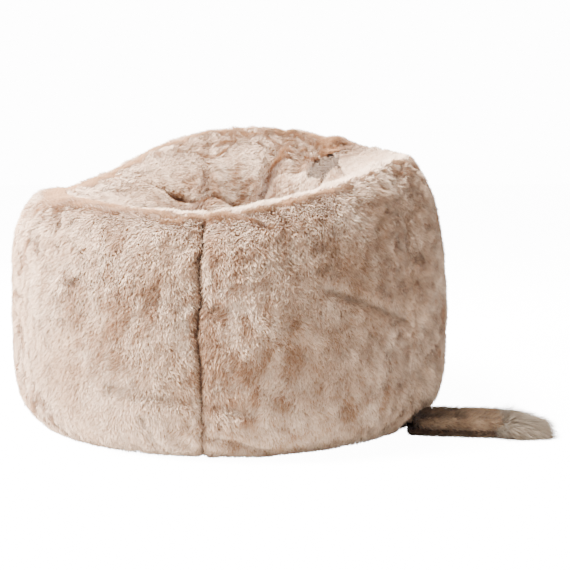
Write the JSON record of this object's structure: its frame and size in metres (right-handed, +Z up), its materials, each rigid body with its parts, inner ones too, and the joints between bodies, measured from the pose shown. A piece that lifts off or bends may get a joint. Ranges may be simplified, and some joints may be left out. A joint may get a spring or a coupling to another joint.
{
  "type": "bean bag chair",
  "caption": "Round fur-covered bean bag chair with gored sides, a sunken seat, a raised back rim, a zipped base and a fur drag strap.",
  "frame": {"origin": "middle of the base, on the floor", "axes": "+Z up; the front of the seat faces -Y; +X is to the right of a person who looks at the front"},
  "size_m": [1.1938, 1.004, 0.6779],
  "materials": {
    "fur": "short plush faux fur, cream with tan and brown mottling",
    "fur_strap": "tan and dark brown plush faux fur",
    "fur_tip": "longer pale grey faux fur",
    "base_cloth": "dark hard-wearing woven cloth",
    "piping": "dark cloth piping",
    "binding": "woven twill tape",
    "zip_tape": "woven zip tape",
    "zip_coil": "nylon coil",
    "zip_metal": "dark nickel",
    "liner_cloth": "plain woven polyester lining",
    "beads": "expanded polystyrene beads",
    "webbing": "woven polypropylene webbing",
    "label": "blank satin label"
  },
  "bodies": {
    "bag": {"base_panel_front": "base_cloth", "base_panel_rear": "base_cloth", "base_welt": "piping", "bead_fill": "beads", "care_label": "label", "cover_panel_front_left": "fur", "cover_panel_front_right": "fur", "cover_panel_left": "fur", "cover_panel_rear_left": "fur", "cover_panel_rear_right": "fur", "cover_panel_right": "fur", "cover_zip_coil_front": "zip_coil", "cover_zip_coil_rear": "zip_coil", "cover_zip_stops": "zip_metal", "cover_zip_tape_front": "zip_tape", "cover_zip_tape_rear": "zip_tape", "crown_patch": "fur", "liner_base": "liner_cloth", "liner_wall": "liner_cloth", "liner_zip_coil_front": "zip_coil", "liner_zip_coil_rear": "zip_coil", "liner_zip_stops": "zip_coil", "liner_zip_tape_front": "zip_tape", "liner_zip_tape_rear": "zip_tape", "seam_bindings": "binding", "strap_anchor": "webbing"},
    "cover_slider": {"cover_zip_slider": "zip_metal"},
    "cover_pull": {"cover_zip_pull": "zip_metal"},
    "liner_slider": {"liner_zip_slider": "zip_coil"},
    "drag_strap": {"strap_lower_ply": "fur_strap", "strap_upper_ply": "fur_strap", "strap_webbing": "webbing", "strap_fold": "fur_strap", "strap_tip": "fur_tip"}
  },
  "joints": [
    {"name": "cover_zip_slide", "type": "slide", "parent": "bag", "child": "cover_slider", "axis": [-1, 0, 0], "range_m": [0, 0.52]},
    {"name": "zip_pull_swing", "type": "hinge", "parent": "cover_slider", "child": "cover_pull", "pos_m": [0.271, 0.06, 0.002], "axis": [0, -1, 0], "range_deg": [0, 150]},
    {"name": "liner_zip_slide", "type": "slide", "parent": "bag", "child": "liner_slider", "axis": [-1, 0, 0], "range_m": [0, 0.385]},
    {"name": "strap_lift", "type": "hinge", "parent": "bag", "child": "drag_strap", "pos_m": [0.4569, -0.2777, 0.0175], "axis": [-0.1564, -0.9877, 0], "range_deg": [0, 60]}
  ]
}
